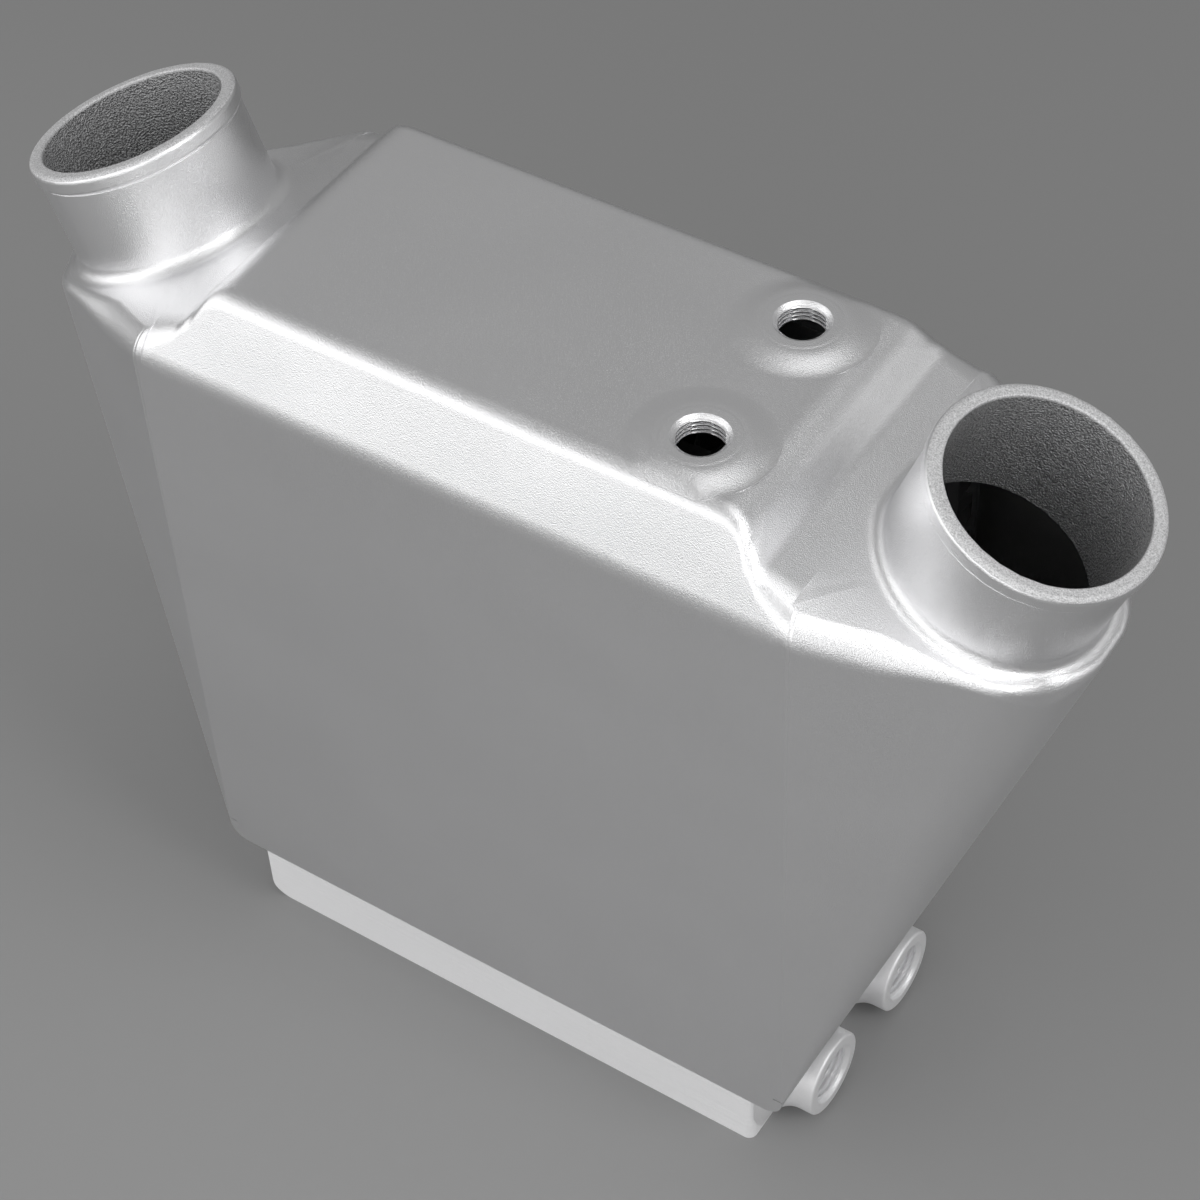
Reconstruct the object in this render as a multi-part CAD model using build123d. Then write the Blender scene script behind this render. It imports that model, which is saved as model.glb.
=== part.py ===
from build123d import *
from math import asin, atan, atan2, cos, pi, radians, sin, tan
import os

# Water-to-air intercooler with a bar-and-plate core.
# X runs from the left end tank to the right one, Y from the front plate to the rear one, Z up.
# The origin lies on the floor, under the centre of the core. All sizes are in millimetres.

# Core block
CORE_LENGTH = 281.0
CORE_HEIGHT = 281.4
BODY_THICKNESS = 154.4
SIDE_PLATE = 4.0
BASE_PLATE = 4.0
AIR_LAYERS = 6
AIR_LAYER = 16.0
SEPARATOR = 1.0
BAR_WIDTH = 10.0
BODY_CORNER = 9.0

# Corrugated fins
AIR_FIN_PITCH = 20.0
WATER_FIN_PITCH = 20.0
FIN_SHEET = 0.5
FIN_FLANK_RUN = 3.0
FIN_END_GAP = 0.3

# Lower water tank, set in from the core all round and most at its right end
LOWER_HEIGHT = 49.2
LOWER_SIDE_INSET = 11.0
LOWER_LEFT_INSET = 1.8
LOWER_RIGHT_INSET = 16.5
LOWER_HEEL = 12.0
LOWER_EDGE = 4.0
TANK_WALL = 4.0

# Upper water tank, a shallow pan turned upside down over the core
TOP_BAND = 10.0
TOP_LEDGE = 7.26
TOP_RISE = 28.7
TOP_SIDE_RUN = 17.2
TOP_END_RUN = 25.4
TOP_END_SLOPE = 11.9
TOP_FOLD = 8.0
TOP_HIP = 9.5
TOP_HOLLOW = 14.0
TOP_HIP_SHARE = 0.66
TOP_FOLD_SHARE = 0.3

# End tanks, each cast in one piece with its hose spigot
END_LAND = 4.0
END_HEEL = 9.3
END_TOE = 0.5
END_SHOULDER = 14.5
END_MARGIN = 9.8
END_FLAT = 5.0
END_EDGE = 12.0
END_WALL = 4.0

# Hose spigots, square to the sloping tops of the end tanks
SPIGOT_TILT = 21.0
SPIGOT_OFFSET = 46.9
SPIGOT_STAND = 47.5
SPIGOT_RADIUS = 43.2
SPIGOT_BORE = 38.4
BEAD_RADIUS = 44.45
BEAD_LENGTH = 7.0
BEAD_ROUND = 2.4
BEAD_GROOVE = 0.6
SPIGOT_WELD = 4.5

# Threaded bungs on the upper tank
TOP_PORT_INSET = 56.4
TOP_PORT_SPACING = 69.8
TOP_PORT_BORE = 9.2
TOP_PORT_MOUTH = 10.8
TOP_BUNG_NECK = 13.5
TOP_BUNG_CROWN = 15.0
TOP_BUNG_FLARE = 26.0
TOP_BUNG_RISE = 4.0
TOP_BUNG_RIM = 0.2
TOP_BUNG_RIM_SLOPE = 0.12
TOP_BUNG_DEPTH = 12.0

# Threaded bungs on the right end of the lower tank
LOWER_PORT_SPACING = 63.4
LOWER_PORT_DROP = 26.3
LOWER_PORT_BORE = 12.2
LOWER_PORT_MOUTH = 13.8
LOWER_BUNG_RADIUS = 19.5
LOWER_BUNG_REACH = 20.2
LOWER_BUNG_FLARE = 10.0
LOWER_BUNG_NECK = 16.5
LOWER_BUNG_RIM = 0.3
LOWER_BUNG_DEPTH = 6.0
LOWER_BUNG_LIP = 1.2
LOWER_BUNG_FOOT = 1.5

BUNG_CLEARANCE = 0.1

# How far cutters stand out past what they cut, and how closely edges and faces are told apart
OVERCUT = 1.0
NEAR = 0.05
SAME_WAY = 0.001

# Heights and half sizes that follow from the values above
HALF_LENGTH = CORE_LENGTH / 2
HALF_THICKNESS = BODY_THICKNESS / 2
INNER_HALF = HALF_THICKNESS - SIDE_PLATE
CORE_BASE = LOWER_HEIGHT + BASE_PLATE
CORE_TOP = CORE_BASE + CORE_HEIGHT
BAND_TOP = CORE_TOP + TOP_BAND
LID_TOP = BAND_TOP + TOP_RISE
LOWER_LEFT = HALF_LENGTH - LOWER_LEFT_INSET
LOWER_RIGHT = HALF_LENGTH - LOWER_RIGHT_INSET
LOWER_HALF = HALF_THICKNESS - LOWER_SIDE_INSET
WATER_LAYERS = AIR_LAYERS - 1
SEPARATORS = AIR_LAYERS + WATER_LAYERS - 1
WATER_LAYER = (2 * INNER_HALF - AIR_LAYERS * AIR_LAYER - SEPARATORS * SEPARATOR) / WATER_LAYERS

# The sloping top of an end tank starts at the core's end, level with the ledge of the upper tank
TILT = radians(SPIGOT_TILT)
SPIGOT_AXIS = Vector(sin(TILT), 0, cos(TILT))
TOP_SLOPE = Vector(cos(TILT), 0, -sin(TILT))
LEDGE_END = Vector(HALF_LENGTH, 0, BAND_TOP + TOP_LEDGE)
SPIGOT_SEAT = LEDGE_END + TOP_SLOPE * SPIGOT_OFFSET
RIM_CENTRE = SPIGOT_SEAT + SPIGOT_AXIS * SPIGOT_STAND

# Plan of an end tank, measured along its sloping top: the side walls pass the spigot at the shoulder
CREASE = END_LAND / cos(TILT)
CREASE_TO_SPIGOT = Vector(SPIGOT_OFFSET - CREASE, HALF_THICKNESS)
END_DEPTH = SPIGOT_OFFSET + SPIGOT_RADIUS + END_MARGIN
TOP_TAPER = (atan2(CREASE_TO_SPIGOT.Y, CREASE_TO_SPIGOT.X)
             - asin((SPIGOT_RADIUS + END_SHOULDER) / CREASE_TO_SPIGOT.length))
PLAN_TAPER = atan(tan(TOP_TAPER) / cos(TILT))
END_HALF = HALF_THICKNESS - (END_DEPTH - CREASE) * tan(TOP_TAPER)
END_CORNER = (END_HALF - END_FLAT) * tan((pi / 2 + TOP_TAPER) / 2)


def block(x, y, z):
    """Box between the two ends given for each axis."""
    size = Box(x[1] - x[0], y[1] - y[0], z[1] - z[0])
    return Pos((x[0] + x[1]) / 2, (y[0] + y[1]) / 2, (z[0] + z[1]) / 2) * size


def shelf_height(x):
    """Height at x of the slope that the right end tank's top and the upper tank's ledge share."""
    return LEDGE_END.Z - (x - LEDGE_END.X) * tan(TILT)


def corner_cutter(side):
    """What is rounded off the body's lower end: side is 1 for the right end, -1 for the left."""
    end = HALF_LENGTH + END_LAND
    across = (-HALF_THICKNESS - OVERCUT, HALF_THICKNESS + OVERCUT)
    upright = (LOWER_HEIGHT - OVERCUT, LOWER_HEIGHT + BODY_CORNER)
    square = block((end - BODY_CORNER, end + OVERCUT), across, upright)
    barrel = Cylinder(BODY_CORNER, BODY_THICKNESS + 4 * OVERCUT, rotation=(90, 0, 0))
    cutter = square - Pos(end - BODY_CORNER, 0, LOWER_HEIGHT + BODY_CORNER) * barrel
    return cutter if side > 0 else mirror(cutter, about=Plane.YZ)


def side_plate(side):
    """Flat outer plate of the core; side is -1 for the front, 1 for the rear."""
    across = sorted((side * INNER_HALF, side * HALF_THICKNESS))
    plate = block((-HALF_LENGTH, HALF_LENGTH), across, (LOWER_HEIGHT, CORE_TOP))
    return plate - corner_cutter(1) - corner_cutter(-1)


def layers():
    """Lists the core's layers from front to rear as (kind, number, front face, rear face)."""
    found = []
    y = -INNER_HALF
    for number in range(1, AIR_LAYERS + 1):
        found.append(("air", number, y, y + AIR_LAYER))
        y += AIR_LAYER
        if number == AIR_LAYERS:
            break
        found.append(("plate", 2 * number - 1, y, y + SEPARATOR))
        y += SEPARATOR
        found.append(("water", number, y, y + WATER_LAYER))
        y += WATER_LAYER
        found.append(("plate", 2 * number, y, y + SEPARATOR))
        y += SEPARATOR
    return found


def fin_profile(span, height, pitch):
    """Corrugation with sloping flanks, centred on its span: crests touch both sides of the layer."""
    waves = max(1, int(span // pitch))
    crest = pitch / 2 - FIN_FLANK_RUN
    rise = height - FIN_SHEET
    bend = FIN_SHEET / 2 * tan(atan2(rise, FIN_FLANK_RUN) / 2)
    start = -(waves * pitch - FIN_FLANK_RUN) / 2
    upper = [(start, height / 2)]
    lower = [(start, height / 2 - FIN_SHEET)]
    for wave in range(waves):
        s = start + wave * pitch
        down = (s + crest, s + crest + FIN_FLANK_RUN)
        upper += [(down[0] + bend, height / 2), (down[1] + bend, -height / 2 + FIN_SHEET)]
        lower += [(down[0] - bend, height / 2 - FIN_SHEET), (down[1] - bend, -height / 2)]
        if wave == waves - 1:
            break
        climb = (s + 2 * crest + FIN_FLANK_RUN, s + pitch)
        upper += [(climb[0] - bend, -height / 2 + FIN_SHEET), (climb[1] - bend, height / 2)]
        lower += [(climb[0] + bend, -height / 2), (climb[1] + bend, height / 2 - FIN_SHEET)]
    end = start + waves * pitch - FIN_FLANK_RUN
    upper.append((end, -height / 2 + FIN_SHEET))
    lower.append((end, -height / 2))
    return make_face(Polyline(*lower, *reversed(upper), close=True))


def air_fin(front, rear):
    """Fin of an air layer: its channels run from end tank to end tank."""
    middle = Vector(-HALF_LENGTH, (front + rear) / 2, (CORE_BASE + CORE_TOP) / 2)
    span = CORE_HEIGHT - 2 * (BAR_WIDTH + FIN_END_GAP)
    profile = fin_profile(span, rear - front, AIR_FIN_PITCH)
    return extrude(Plane(origin=middle, x_dir=(0, 0, 1), z_dir=(1, 0, 0)) * profile, CORE_LENGTH)


def water_fin(front, rear):
    """Fin of a water layer: its channels run from the lower tank to the upper one."""
    middle = Vector(0, (front + rear) / 2, CORE_BASE)
    span = CORE_LENGTH - 2 * (BAR_WIDTH + FIN_END_GAP)
    profile = fin_profile(span, rear - front, WATER_FIN_PITCH)
    return extrude(Plane(origin=middle, x_dir=(1, 0, 0), z_dir=(0, 0, 1)) * profile, CORE_HEIGHT)


def base_plate():
    """Plate under the core, with a slot into the lower tank for each water layer."""
    plate = block((-HALF_LENGTH, HALF_LENGTH), (-INNER_HALF, INNER_HALF), (LOWER_HEIGHT, CORE_BASE))
    left = max(-HALF_LENGTH + BAR_WIDTH, -LOWER_LEFT + TANK_WALL)
    right = min(HALF_LENGTH - BAR_WIDTH, LOWER_RIGHT - TANK_WALL)
    through = (LOWER_HEIGHT - OVERCUT, CORE_BASE + OVERCUT)
    for kind, number, front, rear in layers():
        if kind == "water":
            plate -= block((left, right), (front, rear), through)
    return plate - corner_cutter(1) - corner_cutter(-1)


def core_nodes():
    """Every piece between the two side plates, by name."""
    nodes = {"core_base_plate": base_plate()}
    whole = (-HALF_LENGTH, HALF_LENGTH)
    for kind, number, front, rear in layers():
        across = (front, rear)
        if kind == "plate":
            nodes[f"separator_plate_{number:02d}"] = block(whole, across, (CORE_BASE, CORE_TOP))
        elif kind == "air":
            nodes[f"air_fin_{number}"] = air_fin(front, rear)
            nodes[f"air_bar_bottom_{number}"] = block(whole, across, (CORE_BASE, CORE_BASE + BAR_WIDTH))
            nodes[f"air_bar_top_{number}"] = block(whole, across, (CORE_TOP - BAR_WIDTH, CORE_TOP))
        else:
            upright = (CORE_BASE, CORE_TOP)
            nodes[f"water_fin_{number}"] = water_fin(front, rear)
            nodes[f"water_bar_left_{number}"] = block((whole[0], whole[0] + BAR_WIDTH), across, upright)
            nodes[f"water_bar_right_{number}"] = block((whole[1] - BAR_WIDTH, whole[1]), across, upright)
    return nodes


def lid_side_points(inset):
    """End view of the upper tank; inset moves all but its underside inwards."""
    lean = atan2(TOP_RISE, TOP_SIDE_RUN)
    shift = inset * tan(lean / 2)
    wide = HALF_THICKNESS - inset
    band = BAND_TOP - shift
    flat = HALF_THICKNESS - TOP_SIDE_RUN - shift
    top = LID_TOP - inset
    return [(wide, CORE_TOP), (wide, band), (flat, top), (-flat, top), (-wide, band), (-wide, CORE_TOP)]


def rounded(points, radii):
    """Face with the given outline, whose corners get the radii given by their number."""
    face = make_face(Polyline(*points, close=True))
    for number, radius in radii.items():
        corner = Vector(*points[number])
        nearest = min(face.vertices(), key=lambda v: (Vector(v.X, v.Y) - corner).length)
        face = fillet(nearest, radius)
    return face


def lid_end_points(inset):
    """Front view of the upper tank: flat top, steep slopes, then shelves in line with the end tanks."""
    ledge = HALF_LENGTH - TOP_END_RUN + TOP_END_SLOPE
    steep = atan2(LID_TOP - shelf_height(ledge), TOP_END_SLOPE)
    flat = HALF_LENGTH - TOP_END_RUN - inset * tan(steep / 2)
    foot = ledge - inset * tan((steep + TILT) / 2)
    end = HALF_LENGTH - inset
    drop = inset / cos(TILT)
    half = [(end, CORE_TOP), (end, shelf_height(end) - drop), (foot, shelf_height(foot) - drop),
            (flat, LID_TOP - inset)]
    return half + [(-x, z) for x, z in reversed(half)]


def lid_solid(inset):
    """Upper tank filled in, with rounded edges; inset moves its faces inwards."""
    side_points = lid_side_points(inset)
    end_points = lid_end_points(inset)
    side_face = make_face(Polyline(*side_points, close=True))
    end_face = make_face(Polyline(*end_points, close=True))
    along = extrude(Plane.YZ.offset(-HALF_LENGTH) * side_face, CORE_LENGTH)
    across = extrude(Plane.XZ.offset(-HALF_THICKNESS) * end_face, BODY_THICKNESS)
    body = along & across
    foot = end_points[2][0]
    feet = [e for e in body.edges().filter_by(Axis.Y) if abs(abs((e @ 0.5).X) - foot) < NEAR]
    body = fillet(feet, TOP_HOLLOW + inset)
    lean = atan2(TOP_RISE, TOP_SIDE_RUN)
    ledge = TOP_LEDGE / sin(lean)
    hip = min(TOP_HIP, TOP_HIP_SHARE * ledge / tan(lean / 2))
    body = fillet([e for e in body.edges() if runs_aslant(e)], hip - inset)
    body = fillet(body.faces().sort_by(Axis.Z)[-1].edges(), TOP_FOLD - inset)
    band = side_points[1][1]
    folds = body.edges().filter_by(Axis.X).filter_by_position(Axis.Z, band - NEAR, band + NEAR)
    fold = min(TOP_FOLD, TOP_FOLD_SHARE * ledge / tan((pi / 2 - lean) / 2))
    return fillet(folds, fold - inset)


def runs_aslant(edge):
    """True for an edge that runs along neither X nor Y in plan."""
    run = (edge @ 1) - (edge @ 0)
    return abs(run.X) > NEAR and abs(run.Y) > NEAR


def top_tank():
    """Upper water tank: one formed shell with two holes for its bungs."""
    shell = lid_solid(0) - lid_solid(TANK_WALL)
    hole = Cylinder(TOP_BUNG_NECK + BUNG_CLEARANCE, 4 * TANK_WALL)
    for side in (-1, 1):
        shell -= Pos(HALF_LENGTH - TOP_PORT_INSET, side * TOP_PORT_SPACING / 2, LID_TOP) * hole
    return shell


def lower_block(inset):
    """Block between the lower tank's walls, rounded below at its left end; inset moves them inwards."""
    half = LOWER_HALF - inset
    body = block((-LOWER_LEFT + inset, LOWER_RIGHT - inset), (-half, half), (inset, LOWER_HEIGHT))
    heel = body.edges().filter_by(Axis.Y).group_by(Axis.Z)[0].sort_by(Axis.X)[0]
    return fillet(heel, LOWER_HEEL - inset)


def bottom_tank():
    """Lower water tank: an open box under the core, with two holes in its right end."""
    plan = RectangleRounded(LOWER_LEFT + LOWER_RIGHT, 2 * LOWER_HALF, LOWER_EDGE)
    outer = lower_block(0) & Pos((LOWER_RIGHT - LOWER_LEFT) / 2, 0) * extrude(plan, LOWER_HEIGHT)
    shell = outer - lower_block(TANK_WALL)
    hole = Cylinder(LOWER_BUNG_NECK + BUNG_CLEARANCE, 4 * TANK_WALL, rotation=(0, 90, 0))
    for side in (-1, 1):
        shell -= Pos(LOWER_RIGHT, side * LOWER_PORT_SPACING / 2, LOWER_HEIGHT - LOWER_PORT_DROP) * hole
    return shell


def top_bung(side):
    """Bung with a low flared crown that lies on the upper tank, and a neck through its wall."""
    mouth = TOP_PORT_MOUTH - TOP_PORT_BORE
    crown = (TOP_BUNG_CROWN, TOP_BUNG_RISE)
    rim = (TOP_BUNG_FLARE, TOP_BUNG_RIM)
    path = [
        Line((TOP_PORT_BORE, -TOP_BUNG_DEPTH), (TOP_PORT_BORE, TOP_BUNG_RISE - mouth)),
        Line((TOP_PORT_BORE, TOP_BUNG_RISE - mouth), (TOP_PORT_MOUTH, TOP_BUNG_RISE)),
        Line((TOP_PORT_MOUTH, TOP_BUNG_RISE), crown),
        Spline(crown, rim, tangents=((1, 0), (1, -TOP_BUNG_RIM_SLOPE))),
        Line(rim, (TOP_BUNG_FLARE, 0)),
        Line((TOP_BUNG_FLARE, 0), (TOP_BUNG_NECK, 0)),
        Line((TOP_BUNG_NECK, 0), (TOP_BUNG_NECK, -TOP_BUNG_DEPTH)),
        Line((TOP_BUNG_NECK, -TOP_BUNG_DEPTH), (TOP_PORT_BORE, -TOP_BUNG_DEPTH)),
    ]
    profile = Plane.XZ * make_face(Wire(path))
    place = Pos(HALF_LENGTH - TOP_PORT_INSET, side * TOP_PORT_SPACING / 2, LID_TOP)
    return place * revolve(profile, Axis.Z)


def bottom_bung(side):
    """Bung whose foot flares onto the end wall of the lower tank; its axis points right."""
    mouth = LOWER_PORT_MOUTH - LOWER_PORT_BORE
    reach = LOWER_BUNG_REACH
    foot = LOWER_BUNG_RADIUS + LOWER_BUNG_FLARE
    flare = LOWER_BUNG_FLARE + LOWER_BUNG_RIM
    path = [
        Line((LOWER_PORT_BORE, -LOWER_BUNG_DEPTH), (LOWER_PORT_BORE, reach - mouth)),
        Line((LOWER_PORT_BORE, reach - mouth), (LOWER_PORT_MOUTH, reach)),
        Line((LOWER_PORT_MOUTH, reach), (LOWER_BUNG_RADIUS - LOWER_BUNG_LIP, reach)),
        Line((LOWER_BUNG_RADIUS - LOWER_BUNG_LIP, reach), (LOWER_BUNG_RADIUS, reach - LOWER_BUNG_LIP)),
        Line((LOWER_BUNG_RADIUS, reach - LOWER_BUNG_LIP), (LOWER_BUNG_RADIUS, flare)),
        RadiusArc((LOWER_BUNG_RADIUS, flare), (foot, LOWER_BUNG_RIM), LOWER_BUNG_FLARE),
        Line((foot, LOWER_BUNG_RIM), (foot, 0)),
        Line((foot, 0), (LOWER_BUNG_NECK, 0)),
        Line((LOWER_BUNG_NECK, 0), (LOWER_BUNG_NECK, -LOWER_BUNG_DEPTH)),
        Line((LOWER_BUNG_NECK, -LOWER_BUNG_DEPTH), (LOWER_PORT_BORE, -LOWER_BUNG_DEPTH)),
    ]
    profile = Plane.XZ * make_face(Wire(path))
    upright = revolve(profile, Axis.Z)
    place = Pos(LOWER_RIGHT, side * LOWER_PORT_SPACING / 2, LOWER_HEIGHT - LOWER_PORT_DROP)
    turned = place * (Rot(0, 90, 0) * upright)
    half = LOWER_HALF - LOWER_EDGE
    room = block((0, 2 * HALF_LENGTH), (-half, half), (LOWER_BUNG_FOOT, LOWER_HEIGHT))
    return turned & room


def tank_outline(depth, half_width, lead, taper, corner):
    """Plan of an end tank: open at u = 0, straight for the lead, then tapering to a rounded end."""
    narrow = half_width - (depth - lead) * tan(taper)
    points = [(0, -half_width), (lead, -half_width), (depth, -narrow),
              (depth, narrow), (lead, half_width), (0, half_width)]
    return rounded(points, {2: corner, 3: corner})


def tank_wedge(inset):
    """Solid under the sloping top of the right end tank; inset moves every wall inwards."""
    origin = LEDGE_END - Vector(0, 0, inset / cos(TILT))
    lead = END_LAND - inset * tan(PLAN_TAPER / 2)
    width = HALF_THICKNESS - inset
    tip = SPIGOT_SEAT + TOP_SLOPE * (END_DEPTH - SPIGOT_OFFSET)
    heel = LOWER_HEIGHT + END_HEEL
    lean = (tip.X - HALF_LENGTH - END_LAND) / (tip.Z - heel)
    toe = lead + END_TOE
    toe_z = heel + (toe - END_LAND + inset / cos(atan(lean))) / lean
    reach = END_DEPTH - inset * (1 + tan(TILT))
    corner = END_CORNER - inset
    upper_plane = Plane(origin=origin, x_dir=TOP_SLOPE, z_dir=SPIGOT_AXIS)
    upper = upper_plane * tank_outline(reach, width, lead / cos(TILT), TOP_TAPER, corner)
    lower_plane = Plane(origin=(HALF_LENGTH, 0, toe_z), x_dir=(1, 0, 0), z_dir=(0, 0, 1))
    lower = lower_plane * tank_outline(toe, width, lead, PLAN_TAPER, corner * END_TOE / (reach - lead))
    return loft([lower, upper], ruled=True), toe_z


def spigot():
    """Hose spigot with a raised bead at its rim, from the rim down into the tank."""
    root = -SPIGOT_STAND - END_WALL / 2
    face = BEAD_RADIUS - BEAD_ROUND
    groove = -BEAD_LENGTH - BEAD_GROOVE
    path = [
        Line((SPIGOT_BORE, root), (SPIGOT_BORE, 0)),
        Line((SPIGOT_BORE, 0), (face, 0)),
        RadiusArc((face, 0), (BEAD_RADIUS, -BEAD_ROUND), BEAD_ROUND),
        Line((BEAD_RADIUS, -BEAD_ROUND), (BEAD_RADIUS, -BEAD_LENGTH)),
        Line((BEAD_RADIUS, -BEAD_LENGTH), (SPIGOT_RADIUS, groove)),
        Line((SPIGOT_RADIUS, groove), (SPIGOT_RADIUS, root)),
        Line((SPIGOT_RADIUS, root), (SPIGOT_BORE, root)),
    ]
    profile = Plane.XZ * make_face(Wire(path))
    return Plane(origin=RIM_CENTRE, x_dir=TOP_SLOPE, z_dir=SPIGOT_AXIS) * revolve(profile, Axis.Z)


def spigot_foot(body):
    """Edges where the spigot rises from the sloping top of the tank and from its rounded edge."""
    found = []
    for edge in body.edges():
        way = Vector(edge @ 0.5) - SPIGOT_SEAT
        height = way.dot(SPIGOT_AXIS)
        radius = (way - SPIGOT_AXIS * height).length
        if abs(radius - SPIGOT_RADIUS) < NEAR and abs(height) < END_WALL / 4:
            found.append(edge)
    return found


def end_tank():
    """Right end tank: a hollow wedge, open towards the core, with its spigot welded on top."""
    wedge, toe_z = tank_wedge(0)
    across = (-HALF_THICKNESS, HALF_THICKNESS)
    foot = block((HALF_LENGTH, HALF_LENGTH + END_LAND), across, (LOWER_HEIGHT, toe_z))
    outer = wedge + foot
    tops = [f for f in outer.faces() if (f.normal_at() - SPIGOT_AXIS).length < SAME_WAY]
    rim = [e for e in tops[0].edges() if (e @ 0.5).X > HALF_LENGTH + NEAR]
    outer = fillet(rim, END_EDGE) + spigot()
    outer = fillet(spigot_foot(outer), SPIGOT_WELD)
    cavity = tank_wedge(END_WALL)[0]
    bore_depth = SPIGOT_STAND + 2 * END_WALL
    seat = Plane(origin=RIM_CENTRE - SPIGOT_AXIS * bore_depth, x_dir=TOP_SLOPE, z_dir=SPIGOT_AXIS)
    bore = seat * Cylinder(SPIGOT_BORE, bore_depth, align=(Align.CENTER, Align.CENTER, Align.MIN))
    return outer - cavity - bore - corner_cutter(1)


def all_nodes():
    """Every piece of the intercooler, by name."""
    right = end_tank()
    nodes = {
        "front_side_plate": side_plate(-1),
        "rear_side_plate": side_plate(1),
        "top_water_tank": top_tank(),
        "bottom_water_tank": bottom_tank(),
        "left_end_tank": mirror(right, about=Plane.YZ),
        "right_end_tank": right,
        "top_front_bung": top_bung(-1),
        "top_rear_bung": top_bung(1),
        "bottom_front_bung": bottom_bung(-1),
        "bottom_rear_bung": bottom_bung(1),
    }
    nodes.update(core_nodes())
    return nodes


os.makedirs("parts", exist_ok=True)
for name, shape in all_nodes().items():
    export_step(shape, f"parts/{name}.step")
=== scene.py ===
"""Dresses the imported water-to-air intercooler: smooth skins, blended edges, threads, metal, a studio.

Everything is in metres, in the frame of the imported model: X runs from the left end tank to the right
one, Y from the front plate to the rear one, and Z up from the plane that the lower tank stands on.
"""

import logging
from dataclasses import dataclass, field
from enum import Enum
from math import atan, atan2, cos, pi, radians, sin, sqrt, tan

import bmesh
import bpy
import numpy as np
from mathutils import Matrix, Vector


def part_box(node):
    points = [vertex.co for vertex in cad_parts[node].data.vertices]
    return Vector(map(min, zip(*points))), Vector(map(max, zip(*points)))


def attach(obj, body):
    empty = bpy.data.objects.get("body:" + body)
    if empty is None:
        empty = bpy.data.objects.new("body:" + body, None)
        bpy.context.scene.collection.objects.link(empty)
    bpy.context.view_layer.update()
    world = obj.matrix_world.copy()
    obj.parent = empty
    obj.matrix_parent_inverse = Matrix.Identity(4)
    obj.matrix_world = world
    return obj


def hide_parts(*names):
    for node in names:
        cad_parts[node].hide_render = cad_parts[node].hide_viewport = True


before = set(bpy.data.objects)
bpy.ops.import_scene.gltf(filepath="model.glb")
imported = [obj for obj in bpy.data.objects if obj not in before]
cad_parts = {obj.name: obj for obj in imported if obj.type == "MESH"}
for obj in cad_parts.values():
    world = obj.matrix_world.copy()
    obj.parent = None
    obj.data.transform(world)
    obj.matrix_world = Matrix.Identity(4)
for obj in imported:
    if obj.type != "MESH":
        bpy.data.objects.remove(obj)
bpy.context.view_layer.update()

Array = np.ndarray
log = logging.getLogger("intercooler")

# Metres: points nearer than this are one point, cutters stand out this far past what they cut, and
# added points keep this distance from the arcs
MERGE = 1e-6
OVERRUN = 0.002
HOLD = 0.0004

# Arcs take up at most this share of the run between them
FULL = 0.98

# Divisors never get smaller than this
TINY = 1e-9

RIGHT, BACK, UP = np.eye(3)

# Signs of the corners of a rectangle, counter-clockwise
CORNERS = ((-1, -1), (1, -1), (1, 1), (-1, 1))


class Side(Enum):
    """Which way a mirrored piece faces; the value is the sign of its coordinate."""

    NEGATIVE = -1
    POSITIVE = 1

    def pick(self, negative: str, positive: str) -> str:
        """The word for this side."""
        return positive if self is Side.POSITIVE else negative


class Surface(Enum):
    """Material slots of a piece that has a worked outside and a rough inside."""

    SKIN = 0
    ROUGH = 1
    RIM = 2


# Shapes


def unit(vectors: Array) -> Array:
    """Each vector divided by its length, along the last axis."""
    return vectors / np.maximum(np.linalg.norm(vectors, axis=-1, keepdims=True), TINY)


def soften(points: Array, radii: Array, steps: int, runs: int) -> Array:
    """Rounds the corners of many polylines at once.

    An arc starts t = r * tan(turn / 2) before its corner, and its points are
    start + r * (sin(a) * ahead + (1 - cos(a)) * side), with a from 0 to the turn. Where two arcs
    don't fit on the run between them, both are made smaller. A point is added on each straight run
    close to both of its arcs, so that flat faces stay flat in shading.

    Args:
        points: corners, one polyline a row, of shape (n, k, 3).
        radii: radius at each corner, of shape (k,) or (n, k).
        steps: straight pieces in each arc.
        runs: further points spread over each straight run.

    Returns:
        Points of shape (n, m, 3), with the same m for every row.
    """
    rows, corners = points.shape[:2]
    radius = np.broadcast_to(np.asarray(radii, float), (rows, corners))[:, 1:-1]
    spans = np.diff(points, axis=1)
    lengths = np.linalg.norm(spans, axis=-1)
    ways = unit(spans)
    ahead, onward = ways[:, :-1], ways[:, 1:]
    cos_turn = np.clip((ahead * onward).sum(-1), -1, 1)
    turn = np.arccos(cos_turn)
    half = np.tan(turn / 2)
    wish = np.pad(radius * half, ((0, 0), (1, 1)))
    fit = np.minimum(1, FULL * lengths / np.maximum(wish[:, :-1] + wish[:, 1:], TINY))
    cut = wish[:, 1:-1] * np.minimum(fit[:, :-1], fit[:, 1:])
    real = (cut / np.maximum(half, TINY))[..., None, None]
    side = unit(onward - ahead * cos_turn[..., None])
    start = points[:, 1:-1] - ahead * cut[..., None]
    angle = np.linspace(0, 1, steps + 1)[None, None, :, None] * turn[..., None, None]
    bend = np.sin(angle) * ahead[:, :, None] + (1 - np.cos(angle)) * side[:, :, None]
    arcs = start[:, :, None] + real * bend
    pieces = [points[:, :1]]
    for arc in [*np.swapaxes(arcs, 0, 1), points[:, -1:]]:
        pieces += [straight(pieces[-1][:, -1], arc[:, 0], runs + 1), arc]
    return np.concatenate(pieces, axis=1)


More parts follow.
